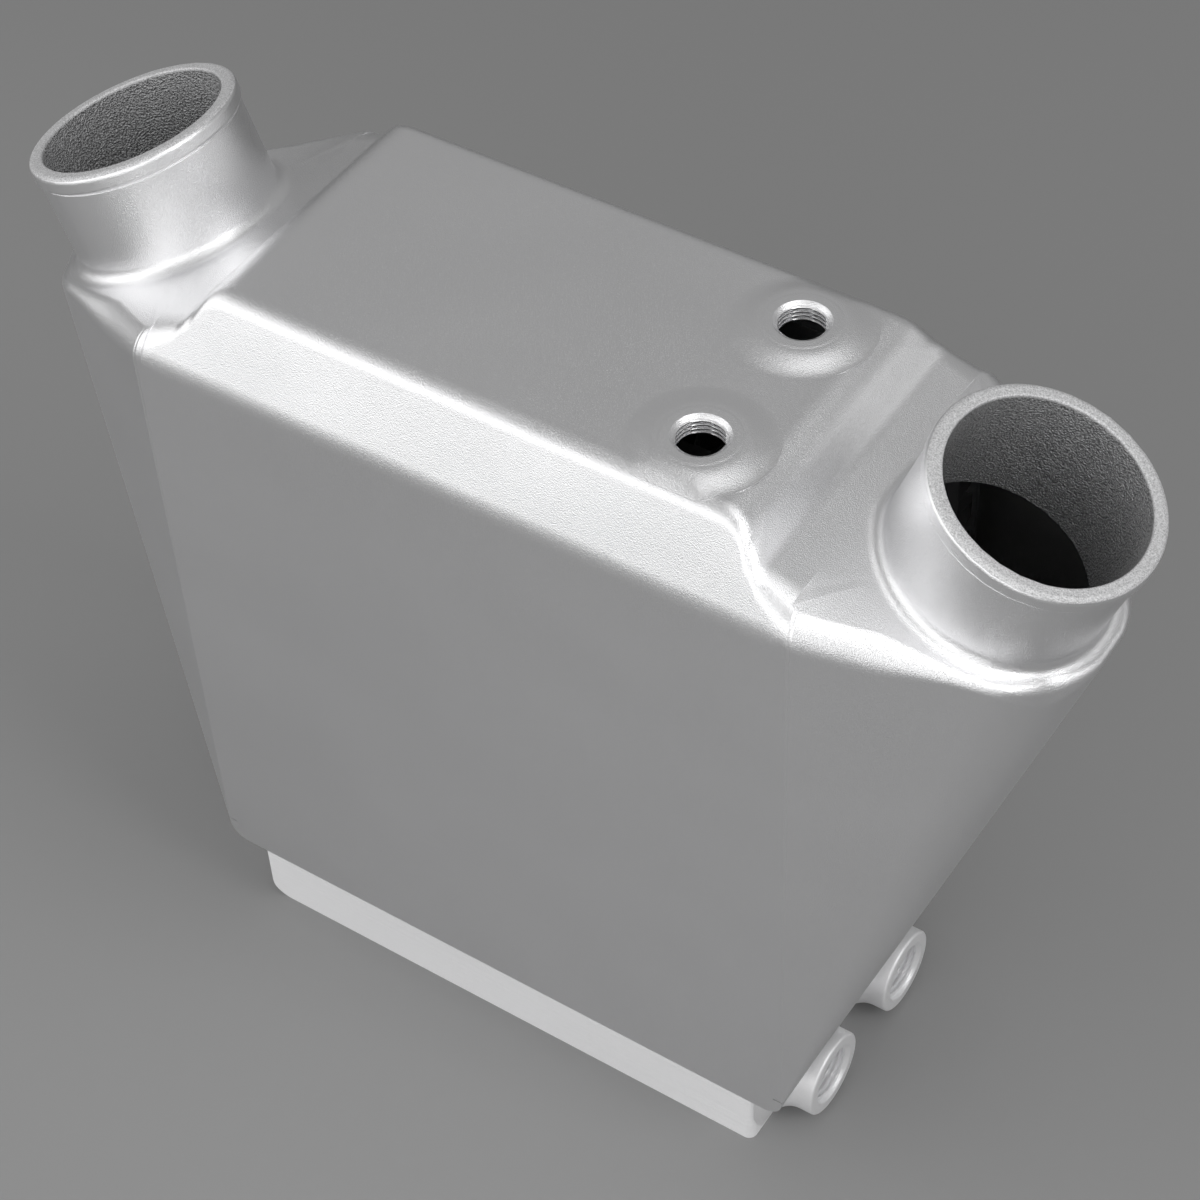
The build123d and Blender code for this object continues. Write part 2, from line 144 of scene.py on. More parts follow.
def straight(start: Array, stop: Array, runs: int) -> Array:
    """Points on straight lines between two rows of points, without the end points.

    Args:
        start: first ends, of shape (n, 3).
        stop: second ends, of shape (n, 3).
        runs: number of pieces between the first point and the last one, which keep off the ends.

    Returns:
        Points of shape (n, runs + 1, 3).
    """
    length = np.linalg.norm(stop - start, axis=-1)[:, None, None]
    near = np.minimum(HOLD / np.maximum(length, TINY), 0.25)
    share = near + np.linspace(0, 1, runs + 1)[None, :, None] * (1 - 2 * near)
    return start[:, None] + share * (stop - start)[:, None]


@dataclass(frozen=True)
class Lathe:
    """An axis in space, round which profiles are carried in evenly spaced rows."""

    origin: Array
    axis: Array
    across: Array
    rows: int

    @property
    def angles(self) -> Array:
        """A column with one angle for each row."""
        return np.linspace(0, 2 * pi, self.rows, endpoint=False)[:, None]

    @property
    def out(self) -> Array:
        """Unit vector of each row: cos(a) * across + sin(a) * (axis x across)."""
        return np.cos(self.angles) * self.across + np.sin(self.angles) * np.cross(self.axis, self.across)

    def carry(self, radius: Array | float, height: Array | float) -> Array:
        """Points origin + axis * height + out * radius.

        Args:
            radius: radii along the profile, of shape (m,), or (n, m) with a row for each angle.
            height: heights along the axis, of either shape.

        Returns:
            Points of shape (n, m, 3).
        """
        radius, height = np.broadcast_arrays(np.atleast_2d(radius), np.atleast_2d(height))
        return self.origin + height[..., None] * self.axis + radius[..., None] * self.out[:, None]


@dataclass
class Skin:
    """A surface over a grid of points: rows go round or along it, columns follow its profile."""

    points: Array
    closed_rows: bool = False
    closed_columns: bool = False
    caps: bool = False
    surface: Surface = Surface.SKIN

    def faces(self) -> list[list[int]]:
        """Quads between neighbouring grid points, and the caps at both ends."""
        rows, columns = self.points.shape[:2]
        number = np.arange(rows * columns).reshape(rows, columns)
        ring = np.vstack([number, number[:1]]) if self.closed_rows else number
        ring = np.hstack([ring, ring[:, :1]]) if self.closed_columns else ring
        quads = np.stack([ring[:-1, :-1], ring[1:, :-1], ring[1:, 1:], ring[:-1, 1:]], -1).reshape(-1, 4)
        found = quads.tolist()
        if self.caps and self.closed_rows:
            found += [number[::-1, 0].tolist(), number[:, -1].tolist()]
        elif self.caps:
            found += [number[0].tolist(), number[-1, ::-1].tolist()]
        return found


def build(name: str, skin: Skin, side: Side = Side.POSITIVE) -> bpy.types.Object:
    """Makes one object from a grid, with outward normals.

    Args:
        name: name of the object.
        skin: the grid and its surface.
        side: the negative side is the mirror image, with X negated.

    Returns:
        The object, at the origin.
    """
    points, faces = skin.points.reshape(-1, 3) * np.array([side.value, 1, 1]), skin.faces()
    mesh = bpy.data.meshes.new(name)
    mesh.from_pydata(points.tolist(), [], faces)
    mesh.polygons.foreach_set("material_index", [skin.surface.value] * len(faces))
    edit = bmesh.new()
    edit.from_mesh(mesh)
    bmesh.ops.recalc_face_normals(edit, faces=edit.faces)
    edit.to_mesh(mesh)
    edit.free()
    piece = bpy.data.objects.new(name, mesh)
    bpy.context.scene.collection.objects.link(piece)
    return piece


def finish(piece: bpy.types.Object, limit: float = 32.0) -> None:
    """Merges the points that lie on each other and shades the piece.

    Args:
        piece: the finished piece.
        limit: edges that turn by more than this many degrees stay sharp.
    """
    edit = bmesh.new()
    edit.from_mesh(piece.data)
    bmesh.ops.remove_doubles(edit, verts=edit.verts, dist=MERGE)
    edit.to_mesh(piece.data)
    edit.free()
    piece.data.shade_smooth()
    piece.data.set_sharp_from_angle(angle=radians(limit))


def carve(piece: bpy.types.Object, cutters: list[bpy.types.Object]) -> None:
    """Cuts other solids out of a piece and deletes them.

    Args:
        piece: the solid that stays and gets a new mesh.
        cutters: the solids to take away, each with the same material slots.
    """
    for cutter in cutters:
        cut = piece.modifiers.new("cut", "BOOLEAN")
        cut.operation = "DIFFERENCE"
        cut.solver = "MANIFOLD"
        cut.object = cutter
    ready = piece.evaluated_get(bpy.context.evaluated_depsgraph_get())
    mesh = bpy.data.meshes.new_from_object(ready)
    piece.modifiers.clear()
    piece.data = mesh
    for cutter in cutters:
        bpy.data.objects.remove(cutter)


# Finishes


def node_group(name: str, inputs: dict[str, tuple[str, float | None]],
               outputs: dict[str, str]) -> bpy.types.NodeTree:
    """Makes an empty shader node group with named sockets.

    Args:
        name: name of the group.
        inputs: socket name to its type and default.
        outputs: socket name to its type.

    Returns:
        The group, with an input and an output node.
    """
    group = bpy.data.node_groups.new(name, "ShaderNodeTree")
    for label, (kind, default) in inputs.items():
        socket = group.interface.new_socket(label, in_out="INPUT", socket_type=kind)
        if default is not None:
            socket.default_value = default
    for label, kind in outputs.items():
        group.interface.new_socket(label, in_out="OUTPUT", socket_type=kind)
    group.nodes.new("NodeGroupInput")
    group.nodes.new("NodeGroupOutput")
    return group


def worn_metal_group() -> bpy.types.NodeTree:
    """Group for hand-finished metal: fine grain, faint brushing, smudges and slow waves.

    Returns:
        A group that puts out a shade (0 dark to 1 bright), a roughness and a height.
    """
    value = "NodeSocketFloat"
    cloud_scale, wave_scale, streak_scale = 14.0, 22.0, (4.0, 4.0, 900.0)
    fine_height, wave_height = 0.002, 0.01
    group = node_group(
        "worn_metal",
        {"Position": ("NodeSocketVector", None), "Roughness": (value, 0.35), "Smudge": (value, 0.05),
         "Grain Size": (value, 2500.0), "Grain": (value, 0.2), "Brush": (value, 0.0),
         "Wave": (value, 0.3)},
        {"Shade": value, "Roughness": value, "Height": value})
    nodes, link = group.nodes, group.links.new
    given = next(n for n in nodes if n.type == "GROUP_INPUT")
    result = next(n for n in nodes if n.type == "GROUP_OUTPUT")

    def noise(scale: float, detail: float) -> bpy.types.Node:
        """A noise texture on the position."""
        made = nodes.new("ShaderNodeTexNoise")
        made.inputs["Scale"].default_value = scale
        made.inputs["Detail"].default_value = detail
        link(given.outputs["Position"], made.inputs["Vector"])
        return made

    def math(kind: str, a: bpy.types.NodeSocket,
             b: bpy.types.NodeSocket | float) -> bpy.types.NodeSocket:
        """Arithmetic on two sockets, or on a socket and a number."""
        made = nodes.new("ShaderNodeMath")
        made.operation = kind
        for socket, source in zip(made.inputs, (a, b)):
            if isinstance(source, (int, float)):
                socket.default_value = source
            else:
                link(source, socket)
        return made.outputs[0]

    cloud = math("SUBTRACT", noise(cloud_scale, 3.0).outputs["Fac"], 0.5)
    grain_noise = noise(2500.0, 1.0)
    link(given.outputs["Grain Size"], grain_noise.inputs["Scale"])
    grain = math("SUBTRACT", grain_noise.outputs["Fac"], 0.5)
    wave = math("SUBTRACT", noise(wave_scale, 0.0).outputs["Fac"], 0.5)
    stretch = nodes.new("ShaderNodeVectorMath")
    stretch.operation = "MULTIPLY"
    stretch.inputs[1].default_value = streak_scale
    link(given.outputs["Position"], stretch.inputs[0])
    streak_noise = noise(1.0, 2.0)
    link(stretch.outputs[0], streak_noise.inputs["Vector"])
    streak = math("SUBTRACT", streak_noise.outputs["Fac"], 0.5)
    brushed = math("MULTIPLY", streak, given.outputs["Brush"])
    speck = math("MULTIPLY", grain, given.outputs["Grain"])
    mottle = math("MULTIPLY", cloud, given.outputs["Smudge"])
    shade = math("ADD", math("ADD", mottle, math("MULTIPLY", speck, 0.5)), brushed)
    link(math("ADD", shade, 0.5), result.inputs["Shade"])
    dull = math("MULTIPLY", cloud, math("MULTIPLY", given.outputs["Smudge"], 1.2))
    link(math("ADD", given.outputs["Roughness"], dull), result.inputs["Roughness"])
    slow = math("MULTIPLY", wave, given.outputs["Wave"])
    fine = math("MULTIPLY", math("ADD", speck, brushed), fine_height)
    link(math("ADD", math("MULTIPLY", slow, wave_height), fine), result.inputs["Height"])
    return group


@dataclass(frozen=True)
class MetalFinish:
    """One aluminium finish: greys, gloss and the strengths of its marks; cool is blue over red."""

    name: str
    dark: float
    bright: float
    roughness: float
    smudge: float = 0.05
    grain_size: float = 2500.0
    grain: float = 0.2
    brush: float = 0.0
    wave: float = 0.3
    bump: float = 0.4
    metallic: float = 1.0
    cool: float = 1.01

    def material(self, group: bpy.types.NodeTree) -> bpy.types.Material:
        """Makes the material, with the shared group read in object coordinates.

        Args:
            group: the worn metal group.

        Returns:
            The material.
        """
        made = bpy.data.materials.new(self.name)
        made.use_nodes = True
        nodes, link = made.node_tree.nodes, made.node_tree.links.new
        shader = nodes["Principled BSDF"]
        shader.inputs["Metallic"].default_value = self.metallic
        place = nodes.new("ShaderNodeTexCoord")
        marks = nodes.new("ShaderNodeGroup")
        marks.node_tree = group
        link(place.outputs["Object"], marks.inputs["Position"])
        strengths = {"Roughness": self.roughness, "Smudge": self.smudge, "Grain": self.grain,
                     "Grain Size": self.grain_size, "Brush": self.brush, "Wave": self.wave}
        for label, amount in strengths.items():
            marks.inputs[label].default_value = amount
        ramp = nodes.new("ShaderNodeMix")
        ramp.data_type = "RGBA"
        for socket, grey in ((ramp.inputs[6], self.dark), (ramp.inputs[7], self.bright)):
            socket.default_value = (grey, grey, grey * self.cool, 1)
        link(marks.outputs["Shade"], ramp.inputs[0])
        link(ramp.outputs[2], shader.inputs["Base Color"])
        link(marks.outputs["Roughness"], shader.inputs["Roughness"])
        bump = nodes.new("ShaderNodeBump")
        bump.inputs["Strength"].default_value = self.bump
        bump.inputs["Distance"].default_value = 1.0
        link(marks.outputs["Height"], bump.inputs["Height"])
        link(bump.outputs["Normal"], shader.inputs["Normal"])
        return made


class Finishes:
    """The aluminium finishes of the intercooler, made once."""

    SATIN = MetalFinish("satin_skin", 0.84, 0.95, 0.29)
    CAST = MetalFinish("blasted_casting", 0.22, 0.72, 0.60, grain_size=1300.0, grain=2.8, wave=0.2,
                       bump=0.6)
    RIM = MetalFinish("blasted_rim", 0.30, 1.00, 0.50, grain_size=1600.0, grain=2.4, wave=0.0, bump=0.2,
                      metallic=0.35)
    RAW = MetalFinish("brushed_sheet", 0.90, 1.00, 0.60, smudge=0.08, brush=0.40, metallic=0.15)
    TURNED = MetalFinish("turned_bung", 0.90, 1.00, 0.42, grain=0.15, wave=0.0, metallic=0.5)
    BRAZED = MetalFinish("brazed_core", 0.30, 0.45, 0.55, wave=0.0)

    def __init__(self) -> None:
        """Makes every material."""
        group = worn_metal_group()
        self.satin = self.SATIN.material(group)
        self.cast = self.CAST.material(group)
        self.raw = self.RAW.material(group)
        self.turned = self.TURNED.material(group)
        self.brazed = self.BRAZED.material(group)
        self.tank = [self.satin, self.cast, self.RIM.material(group)]


def dress(piece: bpy.types.Object, materials: list[bpy.types.Material]) -> None:
    """Puts materials on a piece's slots, in the order of Surface."""
    piece.data.materials.clear()
    for material in materials:
        piece.data.materials.append(material)


def place(piece: bpy.types.Object, node: str, slot: str) -> None:
    """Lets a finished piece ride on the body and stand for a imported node."""
    finish(piece)
    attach(piece, "root")
    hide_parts(node)
    log.info("%s: %d faces, stands for %s", piece.name, len(piece.data.polygons), node)


# Sizes of the body


@dataclass(frozen=True)
class Body:
    """Sizes that several pieces share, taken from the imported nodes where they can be."""

    half_length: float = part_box("front_side_plate")[1].x
    half_width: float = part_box("rear_side_plate")[1].y
    base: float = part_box("front_side_plate")[0].z
    core_top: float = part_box("front_side_plate")[1].z
    lid_top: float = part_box("top_water_tank")[1].z
    tilt: float = radians(21.0)
    ledge_rise: float = 0.01726
    port_inset: float = 0.0564
    port_spacing: float = 0.0698

    @property
    def slope(self) -> Array:
        """Direction down the sloping top of the right end tank."""
        return np.array([cos(self.tilt), 0, -sin(self.tilt)])

    @property
    def axis(self) -> Array:
        """Direction of the right spigot, out of its mouth."""
        return np.array([sin(self.tilt), 0, cos(self.tilt)])

    @property
    def ledge_end(self) -> Array:
        """Where the ledge of the upper tank meets the top of the right end tank, at y = 0."""
        return np.array([self.half_length, 0, self.core_top + self.ledge_rise])

    def shelf(self, x: float) -> float:
        """Height of the ledge at x."""
        return self.ledge_end[2] - (x - self.half_length) * tan(self.tilt)

    def port(self, side: Side) -> Array:
        """Centre of an upper port, on the flat top."""
        x = self.half_length - self.port_inset
        return np.array([x, side.value * self.port_spacing / 2, self.lid_top])


# End tanks


@dataclass
class EndTank:
    """A cast end tank with its spigot: a square-to-round wedge under a sloping top."""

    body: Body
    side: Side
    land: float = 0.004
    heel: float = 0.0093
    toe: float = 0.0005
    foot_round: float = 0.009
    shoulder: float = 0.0100
    margin: float = 0.0078
    flat: float = 0.005
    widest_edge: float = 0.013
    tightest_edge: float = 0.003
    band: float = 0.025
    drop: float = 0.0035
    mitre: float = 0.08
    crease: float = 0.0009
    shell: float = 0.0075
    offset: float = 0.0469
    stand: float = 0.0475
    radius: float = 0.0432
    bore: float = 0.0384
    weld: float = 0.0054
    bead_radius: float = 0.04445
    bead_length: float = 0.007
    bead_round: float = 0.0026
    groove: float = 0.0005
    groove_run: float = 0.0012
    bead_lead: float = 0.0004
    lip_round: float = 0.0009
    rim_face: float = 0.0012
    rim_edge: float = 0.0004
    bore_face: float = 0.0008
    corner_steps: int = 16
    arc_steps: int = 12
    top_runs: int = 14
    wall_runs: int = 6
    open_steps: int = 48

    @property
    def seat(self) -> Array:
        """Where the spigot's axis meets the sloping top."""
        return self.body.ledge_end + self.body.slope * self.offset

    @property
    def depth(self) -> float:
        """Length of the sloping top from the core to its tip."""
        return self.offset + self.radius + self.margin

    @property
    def top_taper(self) -> float:
        """Angle of the side walls in the sloping top: they pass the spigot at the shoulder."""
        run = self.offset - self.land / cos(self.body.tilt)
        reach = sqrt(run ** 2 + self.body.half_width ** 2)
        return atan2(self.body.half_width, run) - np.arcsin((self.radius + self.shoulder) / reach)

    @property
    def plan_taper(self) -> float:
        """Angle of the side walls seen from above."""
        return atan(tan(self.top_taper) / cos(self.body.tilt))

    @property
    def corner(self) -> float:
        """Radius of the two corners at the tip of the sloping top, which leave the flat between them."""
        half = self.body.half_width - (self.depth - self.land / cos(self.body.tilt)) * tan(self.top_taper)
        return (half - self.flat) * tan((pi / 2 + self.top_taper) / 2)

    def loop(self, depth: float, width: float, lead: float, taper: float, corner: float) -> Array:
        """Plan outline, closed on the core side.

        Args:
            depth: how far it reaches from the core.
            width: half of its width at the core.
            lead: length of the straight part beside the core, which ends in a shallow groove.
            taper: angle of its side walls.
            corner: radius of its two outer corners.

        Returns:
            Points of shape (n, 2), counter-clockwise from the front end of the open side.
        """
        narrow = width - (depth - lead) * tan(taper)
        step = min(self.crease, 0.4 * (depth - lead), 0.8 * lead)
        half = [(0, width), (lead - step, width), (lead, width - 0.45 * step),
                (lead + step * cos(taper), width - step * sin(taper)), (depth, narrow)]
        corners = [(u, -v) for u, v in half] + half[::-1]
        path = np.array([[(u, v, 0.0) for u, v in corners]])
        round_off = [0, step, 0.6 * step, step, corner]
        walls = soften(path, np.array(round_off + round_off[::-1]), self.corner_steps, self.wall_runs)[0]
        back = np.linspace(walls[-1], walls[0], self.open_steps + 1)[1:-1]
        return np.vstack([walls, back])[:, :2]

    @property
    def wall_points(self) -> int:
        """Number of points that a loop has on its walls, before those of its open side."""
        loop = self.loop(self.depth, self.body.half_width, self.land, self.top_taper, 0.0)
        return len(loop) - self.open_steps + 1

    def top_loop(self, inset: float, margin: float) -> Array:
        """Outline in the sloping top, of the outer or the inner surface, moved in by a margin.

        Args:
            inset: distance of the surface from the outer one.
            margin: distance of the outline from that surface's own edge.

        Returns:
            Points of shape (n, 3).
        """
        body, tilt = self.body, self.body.tilt
        taper = self.top_taper
        lead = (self.land - inset * tan(self.plan_taper / 2)) / cos(tilt) - margin * tan(taper / 2)
        reach = self.depth - inset * (1 + tan(tilt)) - margin
        corner = self.corner - inset - margin
        flat = self.loop(reach, body.half_width - inset - margin, lead, taper, corner)
        origin = body.ledge_end - UP * (inset / cos(tilt))
        return origin + flat[:, :1] * body.slope + flat[:, 1:2] * BACK

    def rings(self, inset: float) -> tuple[Array, Array]:
        """Lower and upper outline of the wedge, the wall moved inwards by the inset.

        Args:
            inset: distance from the outer surface.

        Returns:
            Points of both outlines, of shape (n, 3).
        """
        body, tilt = self.body, self.body.tilt
        lead = self.land - inset * tan(self.plan_taper / 2)
        tip = self.seat + body.slope * (self.depth - self.offset)
        foot = body.base + self.heel
        lean = (tip[0] - body.half_length - self.land) / (tip[2] - foot)
        toe = lead + self.toe
        toe_z = foot + (toe - self.land + inset / cos(atan(lean))) / lean
        corner = (self.corner - inset) * self.toe / (self.depth - inset * (1 + tan(tilt)) - lead)
        low = self.loop(toe, body.half_width - inset, lead, self.plan_taper, corner)
        lower = np.column_stack([body.half_length + low[:, 0], low[:, 1], np.full(len(low), toe_z)])
        return lower, self.top_loop(inset, 0)

    def spigot_profile(self) -> Array:
        """Radii and heights along the spigot: groove, bead, rim and bore, from the weld down inside."""
        bead = self.stand - self.bead_length
        corners = [
            (self.radius, self.weld, 0.0),
            (self.radius, bead - self.groove_run, 0.0003),
            (self.radius - self.groove, bead - self.groove_run / 2, 0.0002),
            (self.bead_radius - self.bead_lead, bead, 0.0005),
            (self.bead_radius, bead + 2 * self.bead_lead, 0.0012),
            (self.bead_radius, self.stand, self.bead_round),
            (self.bore, self.stand, self.lip_round),
            (self.bore, -self.shell - OVERRUN, 0.0),
        ]
        path = np.array([[(radius, 0.0, height) for radius, height, _ in corners]])
        rounding = np.array([radius for _, _, radius in corners])
        return soften(path, rounding, 10, 3)[0][:, [0, 2]]

    def room(self, points: Array) -> Array:
        """Distance of points over the sloping top from the wedge's outline, seen square to the top.

        The distances a from the lead and b from the tapered side are blended round the crease:
        (a + b - sqrt((a - b)^2 + blend * a * b)) / 2.
        """
        body = self.body
        offset = points - body.ledge_end
        along = offset @ body.slope
        aside = body.half_width - np.abs(offset[..., 1])
        lead = self.land / cos(body.tilt)
        tapered = aside * cos(self.top_taper) - (along - lead) * sin(self.top_taper)
        spread = (aside - tapered) ** 2 + self.mitre * np.clip(aside * tapered, 0, None)
        return np.minimum((aside + tapered - np.sqrt(spread)) / 2, self.depth - along)

    def dip(self, room: Array, band: Array) -> Array:
        """Depth of the crowned margin under the sloping top: drop * ((band - room) / full band)^2."""
        return self.drop * (np.clip(band - room, 0, None) / self.band) ** 2

    def sink(self, points: Array, band: Array) -> Array:
        """Lowers points of the sloping top to the crowned margin."""
        depth = self.dip(self.room(points), band) / cos(self.body.tilt)
        return points - depth[..., None] * UP

    def outside(self) -> Skin:
        """Outer surface: up the wall, over the edge, across the crowned top and up the spigot.

        A column of the grid starts at the toe and runs straight up the ruled wall. An arc of the
        edge's radius turns it onto the crowned margin, whose depth under the sloping top is
        drop * ((band - room) / full band)^2, with room the distance from the outline and band the
        distance between the outline and the weld, at most the full band. An arc of the weld's radius
        turns it up along the spigot, and the spigot's profile ends it. The edge's radius is the
        distance between the outline and the weld, within its limits. Where there is no room for both
        arcs, the first one stops early: with gap the length that is missing, its last part of
        asin(gap / (edge + weld)) is left out, and the weld's centre stands
        sqrt((edge + weld)^2 - gap^2) - edge above the sloping top.

        Returns:
            The grid, closed round the tank and capped at both ends.
        """
        body, axis, slope = self.body, self.body.axis, self.body.slope
        steps = np.linspace(0, 1, self.arc_steps + 1)
        lower, upper = self.rings(0)
        nearer = self.top_loop(0, self.widest_edge)
        open_side = np.arange(len(upper)) >= self.wall_points
        up, inward = unit(upper - lower), unit(nearer - upper)
        lower[open_side, 1] *= 1 - self.widest_edge / body.half_width
        upper[open_side] = nearer[open_side]
        way = unit(np.column_stack([(upper - self.seat) @ slope, (upper - self.seat) @ BACK]))
        weld_foot = self.seat + (self.radius + self.weld) * (way[:, :1] * slope + way[:, 1:] * BACK)
        radius = np.clip(self.room(weld_foot), self.tightest_edge, self.widest_edge)
        start = upper + np.where(open_side, 0.0, radius)[:, None] * inward - self.seat
        angle = np.arctan2(start @ BACK, start @ slope)
        out = np.cos(angle)[:, None] * slope + np.sin(angle)[:, None] * BACK
        band = np.clip(self.room(self.seat + (self.radius + self.weld) * out), 0, self.band)
        lift = 2 * self.drop * band / self.band ** 2 / cos(body.tilt)
        onward = unit(inward + lift[:, None] * UP)
        base = upper - up * (self.dip(0, band) / (up @ axis))[:, None]
        base[open_side] = self.sink(upper, band)[open_side]
        cos_turn = np.clip((up * onward).sum(-1), -1, 1)
        turn = np.where(open_side, 0.0, np.arccos(cos_turn))
        cut = radius * np.tan(turn / 2)
        flat = base + onward * cut[:, None] - self.seat
        reach = np.hypot(flat @ BACK, flat @ slope)
        gap = np.clip(self.radius + self.weld - reach, 0, None)
        lean = np.arcsin(np.clip(gap / (radius + self.weld), 0, 0.999))
        rise = np.cos(lean) * (radius + self.weld) - radius
        bend = (turn - lean).clip(0)[:, None, None] * steps[None, :, None]
        side = unit(onward - up * cos_turn[:, None])
        begin = base - up * cut[:, None]
        arc = np.sin(bend) * up[:, None] + (1 - np.cos(bend)) * side[:, None]
        edge = begin[:, None] + radius[:, None, None] * arc
        edge[open_side] = base[open_side][:, None]
        beta = lean[:, None] + (pi / 2 - lean)[:, None] * steps
        weld_r = self.radius + self.weld * (1 - np.sin(beta))
        weld_h = rise[:, None] - self.weld * np.cos(beta)
        weld = self.seat + weld_r[..., None] * out[:, None] + weld_h[..., None] * axis
        miss = np.where((gap > 0)[:, None], edge[:, -1] - weld[:, 0], 0.0)
        weld = weld + miss[:, None] * (1 - steps)[None, :, None]
        profile = self.spigot_profile()
        tube = self.seat + profile[None, :, :1] * out[:, None] + profile[None, :, 1:2] * axis
        wall = straight(lower, edge[:, 0], self.wall_runs)
        ground = edge[:, -1] - UP * (((edge[:, -1] - self.seat) @ axis) / cos(body.tilt))[:, None]
        top = self.sink(straight(ground, weld[:, 0], self.top_runs), band[:, None])
        ease = edge[:, -1] - self.sink(ground, band)
        top += ease[:, None] * np.linspace(1, 0, top.shape[1])[None, :, None]
        neck = straight(weld[:, -1], tube[:, 1], 2)
        points = np.concatenate([wall, edge, top, weld, neck, tube[:, 1:]], 1)
        return Skin(points, closed_rows=True, caps=True)

    def hollow(self) -> Skin:
        """Inner surface, ruled between the inset outlines and pushed out through the open side."""
        lower, upper = self.rings(self.shell)
        both = np.stack([lower, upper], 1)
        both[..., 0] -= np.where(np.abs(both[..., 0] - self.body.half_length) < MERGE, OVERRUN, 0.0)
        share = np.linspace(0, 1, self.arc_steps)[None, :, None]
        points = both[:, :1] + share * (both[:, 1:] - both[:, :1])
        return Skin(points, closed_rows=True, caps=True, surface=Surface.ROUGH)

    def foot(self) -> Skin:
        """Flange below the wedge: a rounded lower corner carried along Y."""
        body = self.body
        x0, x1 = body.half_length, body.half_length + self.land
        centre_z = body.base + self.foot_round
        start = np.arccos((self.foot_round - self.land) / self.foot_round)
        angle = np.linspace(start, 0, 10)
        arc_x = x1 - self.foot_round + self.foot_round * np.cos(angle)
        arc_z = centre_z - self.foot_round * np.sin(angle)
        top = self.rings(0)[0][0, 2]
        outline = np.vstack([[x0, top], np.column_stack([arc_x, arc_z]), [x1, top]])
        rows = [np.column_stack([outline[:, 0], np.full(len(outline), y), outline[:, 1]])
                for y in (-body.half_width, body.half_width)]
        return Skin(np.stack(rows), closed_columns=True, caps=True)

    def make(self, finishes: Finishes) -> bpy.types.Object:
        """Builds, hollows and dresses the tank."""
        node = self.side.pick("left", "right") + "_end_tank"
        tank = build(f"{node}_cast", self.outside(), self.side)
        inner = build("inner", self.hollow(), self.side)
        for piece in (tank, inner):
            dress(piece, finishes.tank)
        carve(tank, [inner])
        self.roughen(tank)
        foot = build("foot", self.foot(), self.side)
        dress(foot, finishes.tank)
        join(tank, foot)
        place(tank, node, "cast_metal")
        return tank

    def roughen(self, tank: bpy.types.Object) -> None:
        """Gives the rim's face and the bore the rough surface, by their distance from the axis."""
        faces = tank.data.polygons
        centre, slots = np.zeros(3 * len(faces)), np.zeros(len(faces), int)
        faces.foreach_get("center", centre)
        faces.foreach_get("material_index", slots)
        offset = centre.reshape(-1, 3) * np.array([self.side.value, 1, 1]) - self.seat
        height = offset @ self.body.axis
        radius = np.linalg.norm(offset - height[:, None] * self.body.axis, axis=1)
        rim = (height > self.stand - self.rim_face) & (radius < self.bead_radius - self.rim_edge)
        bore = (radius < self.bore + self.bore_face) & (height > -self.shell - OVERRUN - self.bore_face)
        slots[bore] = Surface.ROUGH.value
        slots[rim] = Surface.RIM.value
        faces.foreach_set("material_index", slots)


def join(piece: bpy.types.Object, other: bpy.types.Object) -> None:
    """Adds another object's mesh to a piece and deletes the object."""
    edit = bmesh.new()
    edit.from_mesh(piece.data)
    edit.from_mesh(other.data)
    edit.to_mesh(piece.data)
    edit.free()
    bpy.data.objects.remove(other)


# Upper water tank


